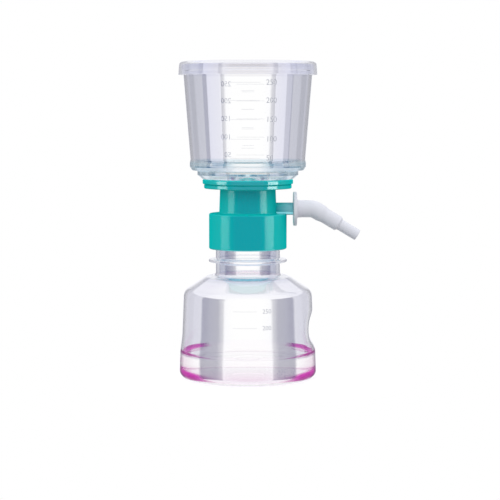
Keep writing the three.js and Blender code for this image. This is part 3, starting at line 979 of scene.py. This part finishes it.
def connector_skin(sizes):
    """A profile [radius, distance along] carried along a centre line: straight, then an arc, then straight
    again. The section's first axis is +Y, and its second turns with the line."""
    corner = sizes.disc_thickness + sizes.elbow_reach
    tangent = sizes.bend_radius * math.tan(0.5 * sizes.bend)
    bend_start = corner - tangent
    bend_end = bend_start + sizes.bend_radius * sizes.bend
    step = bend_end - tangent + sizes.arm_length
    end = step + sizes.tip_length
    taper = bend_end - tangent + sizes.taper_start
    fine = 0.5 * MM
    corners = [
        (sizes.bore, -sizes.spigot, 0.2 * MM),
        (sizes.spigot_radius, -sizes.spigot, 0.4 * MM),
        (sizes.spigot_radius, 0, 0.2 * MM),
        (sizes.disc_radius, 0, 0.7 * MM),
        (sizes.disc_radius, sizes.disc_thickness, 0.7 * MM),
        (sizes.elbow_radius + sizes.hub_flare, sizes.disc_thickness, 1.1 * MM),
        (sizes.elbow_radius, sizes.disc_thickness + sizes.hub_length, 2 * MM, fine),
        (sizes.elbow_radius, taper, 1.5 * MM, fine),
        (sizes.arm_radius, taper + sizes.taper_length, 1.5 * MM, fine),
        (sizes.arm_radius - sizes.arm_draft, step - (sizes.arm_radius - sizes.tip_radius), 0.4 * MM),
        (sizes.tip_radius, step, 0.3 * MM),
        (sizes.tip_radius, end, 0.4 * MM),
        (sizes.bore + sizes.tip_chamfer, end, 0.2 * MM, fine),
    ]
    profile = outline(corners, closed=True)
    radius, along = profile[:, :1], profile[:, 1:]
    turn = np.clip((along - bend_start) / sizes.bend_radius, 0, sizes.bend)
    before, after = np.minimum(along, bend_start), np.maximum(along - bend_end, 0)
    centre_x = before + sizes.bend_radius * np.sin(turn) + after * math.cos(sizes.bend)
    centre_z = -sizes.bend_radius * (1 - np.cos(turn)) - after * math.sin(sizes.bend)
    angles = np.linspace(0, TURN, SMALL_COLUMNS, endpoint=False)
    across, up = radius * np.cos(angles), radius * np.sin(angles)
    grid = np.stack([centre_x + up * np.sin(turn), across, centre_z + up * np.cos(turn)], axis=-1)
    disc_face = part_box("hose_connector")[0].x + sizes.spigot
    return ring_skin(grid + np.array([disc_face, 0, port_height()]))


# ---- Membrane holder and what lies in it ----


def holder_skin(sizes):
    """The holder's outline turned about the axis, with its floor raised along each rib. Each rib has columns
    of its own, turned from its middle line by the arcsine of their distance across over the radius, so that
    it keeps one width all the way out."""
    bottom = high("adapter") + SEAT
    top = high("membrane_holder")
    spout_end = low("membrane_holder")
    edge = reach("membrane_holder")
    bore = sizes.spout_radius - sizes.spout_wall
    floor = bottom + sizes.floor
    rib_start, rib_end = sizes.spout_radius + sizes.rib_width, sizes.recess_radius - sizes.rib_gap
    slope = sizes.rib_slope
    corners = [
        (bore, spout_end, 0.3 * MM),
        (sizes.spout_radius, spout_end, 0.4 * MM),
        (sizes.spout_radius, bottom, 1 * MM),
        (sizes.plug_radius - sizes.plug_width, bottom, 0.2 * MM),
        (sizes.plug_radius - sizes.plug_width, bottom - sizes.plug_depth, 0.2 * MM),
        (sizes.plug_radius, bottom - sizes.plug_depth, 0.3 * MM),
        (sizes.plug_radius, bottom, 0.2 * MM),
        (edge - sizes.chamfer, bottom, 0.5 * MM),
        (edge, 0.5 * (bottom + top), 0.5 * MM),
        (edge, top, 0.4 * MM),
        (sizes.recess_radius, top, 0.3 * MM),
        (sizes.recess_radius, floor, 0.3 * MM),
        (rib_end, floor, 0, 1.5 * MM),
        (rib_end - slope, floor, 0, 1.5 * MM),
        (rib_start + slope, floor),
        (rib_start, floor),
        (bore, floor, 0.4 * MM),
    ]
    profile = outline(corners, closed=True, spacing=2 * MM)
    radius, height = profile[:, :1], profile[:, 1:]
    half = 0.5 * sizes.rib_width
    across = np.array([-1.25, -1.0, -0.85, 0.85, 1.0, 1.25]) * half  # from the rib's middle line
    raised = np.array([0.0, 0.06, 1.0, 1.0, 0.06, 0.0])  # share of the rib's height at each of those
    between = np.linspace(0.18, 0.82, 5)  # columns on the floor between two ribs
    sector = TURN / sizes.rib_count
    on_rib = np.arcsin(across / np.maximum(radius, 3 * half))
    beside = on_rib[:, -1:] + (sector - on_rib[:, -1:] + on_rib[:, :1]) * between
    local = np.hstack([on_rib, beside])
    angles = (np.arange(sizes.rib_count)[:, None] * sector + local[:, None, :]).reshape(len(profile), -1)
    lift = np.tile(np.concatenate([raised, 0 * between]), sizes.rib_count)
    on_floor = np.abs(height - floor) < 0.01 * MM
    ends = smooth((radius - rib_start) / slope) * smooth((rib_end - radius) / slope)
    heights = height + sizes.rib_height * lift * on_floor * ends
    return ring_skin(np.stack([radius * np.cos(angles), radius * np.sin(angles), heights], axis=-1))


def disc_skin(node, fillet):
    """A disc with rounded edges in the place of a solid."""
    return poled_skin(turned(outline(rod_corners(reach(node), low(node), high(node), fillet))))


# ---- Funnel, lid and graduations ----


def funnel_radius(sizes, height):
    """Outer radius of the funnel's wall at a height."""
    floor = high("funnel") - sizes.depth
    return sizes.base_radius + (sizes.top_radius - sizes.base_radius) * (height - floor) / sizes.depth


def funnel_skin(sizes):
    """The funnel's outline turned about the axis, with its foot, its weld ring and a bead at both ends."""
    rim = high("funnel")
    floor = rim - sizes.depth
    foot_low = floor - sizes.foot
    underside = floor - sizes.wall
    lip = sizes.outlet_radius + sizes.wall
    weld = sizes.weld_radius
    edge = sizes.base_radius - sizes.foot_taper
    bead = sizes.base_radius + sizes.foot_bead
    bead_low = rim - sizes.bead_height
    inner_top, inner_floor = sizes.top_radius - sizes.wall, sizes.base_radius - sizes.wall
    corners = [
        (sizes.outlet_radius, foot_low + sizes.lip_gap, 0.3 * MM),
        (lip, foot_low + sizes.lip_gap, 0.3 * MM),
        (lip, underside, 0.4 * MM),
        (weld, underside, 0.4 * MM),
        (weld, foot_low, 0.2 * MM),
        (weld + sizes.weld_ring, foot_low, 0.2 * MM),
        (weld + sizes.weld_ring, underside, 0.4 * MM),
        (edge - sizes.wall, underside, 0.4 * MM),
        (edge - sizes.wall, foot_low, 0.3 * MM),
        (edge, foot_low, 0.5 * MM),
        (bead, foot_low + 0.45 * sizes.foot, 1 * MM),
        (bead, floor, 0.6 * MM),
        (funnel_radius(sizes, floor + sizes.wall), floor + sizes.wall, 0.6 * MM),
        (funnel_radius(sizes, bead_low), bead_low, 0.3 * MM),
        (sizes.top_radius + sizes.bead, bead_low + 2 * sizes.bead, 0.4 * MM),
        (sizes.top_radius + sizes.bead, rim, 0.6 * MM),
        (inner_top, rim, 0.6 * MM),
        (inner_floor, floor, 2 * MM),
        (sizes.outlet_radius, floor, 0.5 * MM),
    ]
    return ring_skin(turned(outline(corners, closed=True)))


def lid_skin(sizes, funnel):
    """The lid's outline turned about the axis, with its moulding gate and its rim inside the funnel."""
    top, bottom = high("lid"), low("lid")
    underside = top - sizes.plate
    plug_low = underside - sizes.plug_depth
    plug = funnel_radius(funnel, plug_low) - funnel.wall - SEAT
    inner = funnel.top_radius + funnel.bead + SEAT
    corners = [
        (0, underside - sizes.gate_height),
        (sizes.gate, underside - sizes.gate_height, 0.3 * MM),
        (sizes.gate, underside, 0.3 * MM),
        (plug - sizes.plug_wall, underside, 0.4 * MM),
        (plug - sizes.plug_wall, plug_low, 0.4 * MM),
        (plug, plug_low, 0.5 * MM),
        (plug, underside, 0.3 * MM),
        (inner, underside, 0.5 * MM),
        (inner + 0.5 * sizes.flare, bottom, 0.3 * MM),
        (inner + sizes.wall + sizes.flare, bottom, 0.4 * MM),
        (inner + sizes.wall, top, sizes.corner),
        (0, top),
    ]
    return poled_skin(turned(outline(corners)))


def mark_skin(sizes, radius_at, middle, height, width):
    """A thin strip printed on a wall: (radius cos angle, radius sin angle, height), with a row for each
    angle and a column for each corner of its section. A face closes it at each end."""
    columns = max(2, int(width / (0.8 * MM)) + 1)
    angles = middle + np.linspace(-0.5, 0.5, columns)[:, None] * width / radius_at(height)
    heights = height + np.array([-0.5, -0.5, 0.5, 0.5]) * sizes.stroke
    radius = radius_at(heights) + PRINT_GAP + np.array([0, 1, 1, 0]) * sizes.ink
    grid = np.stack([radius * np.cos(angles), radius * np.sin(angles), heights + 0 * angles], axis=-1)
    last = 4 * (columns - 1)
    ends = [[3, 2, 1, 0], [last, last + 1, last + 2, last + 3]]
    return grid.reshape(-1, 3), grid_faces(columns, 4, False) + ends


def number_skin(sizes, radius_at, start, height, text, share):
    """A number written flat and wrapped on a wall: its x becomes the angle, its y the height, its z the
    radius."""
    curve = bpy.data.curves.new("number", "FONT")
    curve.body, curve.size, curve.extrude = text, share * sizes.digit / DIGIT_SHARE, 0.5 * sizes.ink
    curve.align_x, curve.align_y = "LEFT", "CENTER"
    curve.resolution_u = 3
    points, faces = skin_of(linked("number", curve))
    along, up, out = points.T
    radius = radius_at(height + up) + PRINT_GAP + 0.5 * sizes.ink + out
    angles = start + along / radius_at(height)
    return np.stack([radius * np.cos(angles), radius * np.sin(angles), height + up], axis=1), faces


def scale_skins(sizes, radius_at, sides, numbers, lines, share=1.0):
    """Printed lines and their numbers on each side of a wall, at a share of the full size."""
    skins = []
    for side in sides:
        for text, height in numbers.items():
            middle = side - sizes.shift / radius_at(height)
            start = side + share * sizes.number_start / radius_at(height)
            skins.append(mark_skin(sizes, radius_at, middle, height, share * sizes.major))
            skins.append(number_skin(sizes, radius_at, start, height, text, share))
        for height in lines:
            skins.append(mark_skin(sizes, radius_at, side, height, share * sizes.minor))
    return skins


# ---- Operators ----


class FILTRATION_OT_bottle(Operator):
    """Make the receiver bottle"""

    bl_idname = "filtration.bottle"
    bl_label = "Receiver Bottle"

    def execute(self, context):
        scene = context.scene
        sizes, finishes = scene.bottle_sizes, scene.unit_finishes
        neck = (sizes.shoulder_height + sizes.neck_start, high("bottle"), finishes.neck_edge_painted_shade, 0.95)
        tint_and_edge_shade = (finishes.bottle, finishes.bottle_edge_painted_shade)
        finish = clear_plastic("clear_bottle", *tint_and_edge_shade, sheen=0.54, zone=neck, fade=0.6, wet=high("medium"))
        skin = bottle_skin(sizes, scene.thread_sizes)
        show_piece("receiver_bottle", skin, finish, "receiver", "clear_shell", "bottle")
        return {"FINISHED"}


class FILTRATION_OT_filtrate(Operator):
    """Make the filtrate in the bottle"""

    bl_idname = "filtration.filtrate"
    bl_label = "Filtrate"

    def execute(self, context):
        scene = context.scene
        finish = filtrate_finish(scene.unit_finishes, low("medium"), high("medium"), reach("medium"))
        skin = filtrate_skin(scene.bottle_sizes, scene.filtrate_sizes)
        show_piece("pink_filtrate", skin, finish, "receiver", "pink_medium", "medium")
        return {"FINISHED"}


class FILTRATION_OT_seals(Operator):
    """Make the two soft seals"""

    bl_idname = "filtration.seals"
    bl_label = "Seals"

    def execute(self, context):
        scene = context.scene
        finish = satin_plastic("soft_seal", scene.unit_finishes.seal, 0.6, 1500.0, 0.1)
        skin = seal_skin("mouth_gasket", scene.adapter_sizes.gasket_bore)
        show_piece("mouth_seal", skin, finish, "thread_carrier", "soft_seal", "mouth_gasket")
        skin = seal_skin("membrane_seal", scene.funnel_sizes.outlet_radius)
        show_piece("clamp_seal", skin, finish, "filter_top", "soft_seal", "membrane_seal")
        return {"FINISHED"}


class FILTRATION_OT_adapter(Operator):
    """Make the adapter with its vacuum port"""

    bl_idname = "filtration.adapter"
    bl_label = "Adapter"

    def execute(self, context):
        scene = context.scene
        finish = teal_finish(scene.unit_finishes, scene.adapter_sizes)
        skin = adapter_skin(scene.adapter_sizes, scene.thread_sizes)
        show_piece("adapter_body", skin, finish, "filter_top", "teal_adapter", "adapter")
        return {"FINISHED"}


class FILTRATION_OT_port_plug(Operator):
    """Make the fibre plug inside the port"""

    bl_idname = "filtration.port_plug"
    bl_label = "Port Plug"

    def execute(self, context):
        lower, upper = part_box("port_filter")
        finish = satin_plastic("fibre_plug", context.scene.unit_finishes.fibre, 0.9, 3000.0, 0.6)
        skin = port_rod(upper.y, lower.x, upper.x, 0.5 * MM)
        show_piece("port_plug", skin, finish, "filter_top", "filter_fibre", "port_filter")
        return {"FINISHED"}


class FILTRATION_OT_connector(Operator):
    """Make the swivelling hose connector"""

    bl_idname = "filtration.connector"
    bl_label = "Hose Connector"

    def execute(self, context):
        scene = context.scene
        finish = satin_plastic("white_plastic", scene.unit_finishes.connector, 0.28, 1800.0, 0.04)
        skin = connector_skin(scene.connector_sizes)
        show_piece("elbow_connector", skin, finish, "connector", "white_connector", "hose_connector")
        return {"FINISHED"}


class FILTRATION_OT_holder(Operator):
    """Make the membrane holder, the screen and the membrane"""

    bl_idname = "filtration.holder"
    bl_label = "Membrane Holder"

    def execute(self, context):
        scene = context.scene
        finishes = scene.unit_finishes
        finish = clear_plastic("holder_plastic", finishes.clear, finishes.holder_edge_painted_shade, sheen=0.4)
        skin = holder_skin(scene.holder_sizes)
        show_piece("holder_dish", skin, finish, "filter_top", "clear_shell", "membrane_holder")
        finish = woven("screen_mesh", finishes.membrane, 0.9 * MM)
        skin = disc_skin("drain_screen", 0.1 * MM)
        show_piece("support_screen", skin, finish, "filter_top", "drain_mesh", "drain_screen")
        finish = satin_plastic("filter_membrane", finishes.membrane, 0.8, 2500.0, 0.1)
        skin = disc_skin("membrane", 0.05 * MM)
        show_piece("filter_disc", skin, finish, "filter_top", "membrane_white", "membrane")
        return {"FINISHED"}


class FILTRATION_OT_funnel(Operator):
    """Make the funnel"""

    bl_idname = "filtration.funnel"
    bl_label = "Funnel"

    def execute(self, context):
        scene = context.scene
        sizes, finishes = scene.funnel_sizes, scene.unit_finishes
        foot = (0, high("funnel") - sizes.depth + 1 * MM, finishes.holder_edge_painted_shade, 0.7)
        finish = clear_plastic("funnel_plastic", finishes.clear, finishes.clear_edge_painted_shade, sheen=0.52, zone=foot)
        show_piece("funnel_cup", funnel_skin(sizes), finish, "filter_top", "clear_shell", "funnel")
        return {"FINISHED"}


class FILTRATION_OT_lid(Operator):
    """Make the lid"""

    bl_idname = "filtration.lid"
    bl_label = "Lid"

    def execute(self, context):
        scene = context.scene
        finishes = scene.unit_finishes
        finish = clear_plastic("lid_plastic", finishes.lid, finishes.clear_edge_painted_shade, sheen=0.3)
        skin = lid_skin(scene.lid_sizes, scene.funnel_sizes)
        show_piece("lid_cap", skin, finish, "cover", "clear_shell", "lid")
        return {"FINISHED"}


class FILTRATION_OT_scales(Operator):
    """Print the graduations on the funnel and on the bottle"""

    bl_idname = "filtration.scales"
    bl_label = "Graduations"

    def execute(self, context):
        scene = context.scene
        sizes = scene.scale_sizes
        finish = satin_plastic("scale_print", scene.unit_finishes.print, 0.5, 900.0, 0.05)
        front, rear = -0.25 * TURN, 0.25 * TURN

        def funnel(height):
            return funnel_radius(scene.funnel_sizes, height)

        def waist(height):
            return waist_radius(scene.bottle_sizes, height)

        skins = scale_skins(sizes, funnel, (front, rear), FUNNEL_NUMBERS, FUNNEL_LINES)
        show_piece("funnel_scale", joined(skins), finish, "filter_top", "clear_shell")
        skins = scale_skins(sizes, waist, (front,), BOTTLE_NUMBERS, (), sizes.bottle_share)
        show_piece("bottle_scale", joined(skins), finish, "receiver", "clear_shell")
        return {"FINISHED"}


class FILTRATION_OT_stage(Operator):
    """Set up the floor, the lights, the world and the camera"""

    bl_idname = "filtration.stage"
    bl_label = "Stage"

    def execute(self, context):
        scene = context.scene
        make_floor(scene)
        make_world(scene)
        make_panels(scene, "softbox", ("adapter_body",), SOFTBOXES)
        make_panels(scene, "side_panel", ("funnel_cup", "lid_cap", "holder_dish"), SIDE_PANELS)
        make_camera(scene)
        scene.view_settings.view_transform = "Standard"
        for kind in ("max", "glossy", "transmission", "transparent_max"):
            setattr(scene.cycles, f"{kind}_bounces", 32)
        return {"FINISHED"}


def make_floor(scene):
    """A pale floor with the object's soft shadow on it, white further out. It isn't there from below."""

    def write(nodes):
        x, y, _ = nodes.axes(nodes.position())
        beyond_shadow = nodes.from_axis(x, y).above(50 * MM, 120 * MM) * nodes.ray("Is Camera Ray")
        floor = nodes.add("ShaderNodeBsdfDiffuse", {}, {"Color": (0.97, 0.97, 0.97, 1)})
        white = nodes.add("ShaderNodeEmission", {}, {"Color": WHITE, "Strength": 1.0})
        clear = nodes.add("ShaderNodeBsdfTransparent", {}, {"Color": WHITE})
        return nodes.mix_shader(nodes.back(), nodes.mix_shader(beyond_shadow, floor, white), clear)

    half = 6.0  # half of the floor's side
    corners = [(-half, -half, 0), (half, -half, 0), (half, half, 0), (-half, half, 0)]
    mesh = bpy.data.meshes.new("floor")
    mesh.from_pydata(corners, [], [(0, 1, 2, 3)])
    mesh.materials.append(material("pale_floor", write))
    floor = bpy.data.objects.new("floor", mesh)
    scene.collection.objects.link(floor)
    floor.visible_diffuse = False
    floor.visible_glossy = False
    floor.visible_transmission = False


def make_world(scene):
    """Soft light on the object, brighter from above. Mirrors find white in front and behind, and darker
    walls to both sides. What is seen through clear plastic is white, and a little darker to the sides."""
    world = bpy.data.worlds.new("studio")
    world.use_nodes = True
    nodes = Nodes(world.node_tree)
    x, y, z = nodes.axes(nodes.add("ShaderNodeTexCoord", output="Generated"))
    degrees = 180 / math.pi
    azimuth = nodes.math("ARCTAN2", nodes.math("ABSOLUTE", x), 0.0 - y) * degrees
    elevation = nodes.math("ARCSINE", z) * degrees
    wall_foot, wall_top = -24.0, 26.0  # degrees above the horizon
    level = (1 - elevation.above(wall_top, 4.0)) * elevation.above(wall_foot, 6.0)
    stops = [(turn / 180, (grey, grey, blue, 1)) for turn, grey, blue in WALLS]
    walls = nodes.add("ShaderNodeValToRGB", {"stops": stops}, {0: azimuth / 180})
    mirrored = nodes.mix(level, WHITE, walls)
    aside = azimuth.above(42.0, 4.0) * (1 - azimuth.above(164.0, 8.0))
    seen_through = nodes.mix(aside, WHITE, (0.95, 0.95, 0.95, 1))
    scattered = nodes.ray("Is Diffuse Ray")
    shade = nodes.mix(nodes.ray("Is Transmission Ray"), mirrored, seen_through)
    shade = nodes.mix(scattered.at_least(nodes.ray("Is Camera Ray")), shade, WHITE)
    daylight = scene.stage_settings.day * (0.84 + 0.62 * z)
    strength = 1 + scattered * (daylight - 1)
    background = nodes.add("ShaderNodeBackground", {}, {"Color": shade, "Strength": strength})
    nodes.add("ShaderNodeOutputWorld", {}, {"Surface": background})
    scene.world = world


def aimed(spot, target):
    """The turn of a lamp or a camera at a spot that looks at a target."""
    return (target - spot).to_track_quat("-Z", "Y").to_euler()


def make_panels(scene, name, pieces, panels):
    """Tall light panels round the object, which only the named pieces reflect."""
    receivers = bpy.data.collections.new(f"{name}_receivers")
    for piece in pieces:
        receivers.objects.link(bpy.data.objects[piece])
    distance, tall = 4.0, 4.8
    middle = Vector((0, 0, 100 * MM))
    for number, (degrees, width, bright) in enumerate(panels):
        broad = 2 * distance * math.tan(math.radians(0.5 * width))
        lamp = bpy.data.lights.new(f"{name}_{number}", "AREA")
        lamp.shape, lamp.size, lamp.size_y = "RECTANGLE", broad, tall
        lamp.energy = bright * math.pi * broad * tall
        panel = bpy.data.objects.new(f"{name}_{number}", lamp)
        scene.collection.objects.link(panel)
        turn = math.radians(degrees)
        panel.location = middle + distance * Vector((math.sin(turn), -math.cos(turn), 0))
        panel.rotation_euler = aimed(panel.location, middle)
        panel.visible_camera = False
        panel.visible_diffuse = False
        panel.visible_transmission = False
        panel.light_linking.receiver_collection = receivers


def make_camera(scene):
    settings = scene.stage_settings
    camera = bpy.data.cameras.new("camera")
    camera.lens = settings.lens
    viewer = bpy.data.objects.new("camera", camera)
    scene.collection.objects.link(viewer)
    viewer.location = (0, -settings.distance, settings.height)
    viewer.rotation_euler = aimed(viewer.location, Vector((settings.aim_side, 0, settings.aim_height)))
    scene.camera = viewer


# ---- Panel and registration ----


GROUPS = {
    "bottle_sizes": BottleSizes,
    "thread_sizes": ThreadSizes,
    "filtrate_sizes": FiltrateSizes,
    "adapter_sizes": AdapterSizes,
    "connector_sizes": ConnectorSizes,
    "holder_sizes": HolderSizes,
    "funnel_sizes": FunnelSizes,
    "lid_sizes": LidSizes,
    "scale_sizes": ScaleSizes,
    "unit_finishes": Finishes,
    "stage_settings": StageSettings,
}
OPERATORS = (
    FILTRATION_OT_bottle,
    FILTRATION_OT_filtrate,
    FILTRATION_OT_seals,
    FILTRATION_OT_adapter,
    FILTRATION_OT_port_plug,
    FILTRATION_OT_connector,
    FILTRATION_OT_holder,
    FILTRATION_OT_funnel,
    FILTRATION_OT_lid,
    FILTRATION_OT_scales,
    FILTRATION_OT_stage,
)


class FILTRATION_PT_unit(Panel):
    """Lists the pieces, their sizes and the finishes"""

    bl_label = "Vacuum Filtration Unit"
    bl_space_type = "VIEW_3D"
    bl_region_type = "UI"
    bl_category = "Filtration"

    def draw(self, context):
        layout = self.layout
        for operator in OPERATORS:
            layout.operator(operator.bl_idname)
        for name, group in GROUPS.items():
            box = layout.box()
            box.label(text=name.replace("_", " ").capitalize())
            for size in group.__annotations__:
                box.prop(getattr(context.scene, name), size)


def register():
    for cls in (*GROUPS.values(), *OPERATORS, FILTRATION_PT_unit):
        bpy.utils.register_class(cls)
    for name, group in GROUPS.items():
        setattr(bpy.types.Scene, name, PointerProperty(type=group))


def unregister():
    for name in GROUPS:
        delattr(bpy.types.Scene, name)
    for cls in reversed((*GROUPS.values(), *OPERATORS, FILTRATION_PT_unit)):
        bpy.utils.unregister_class(cls)


def main():
    register()
    for operator in OPERATORS:
        group, name = operator.bl_idname.split(".")
        getattr(getattr(bpy.ops, group), name)()


if __name__ == "__main__":
    main()
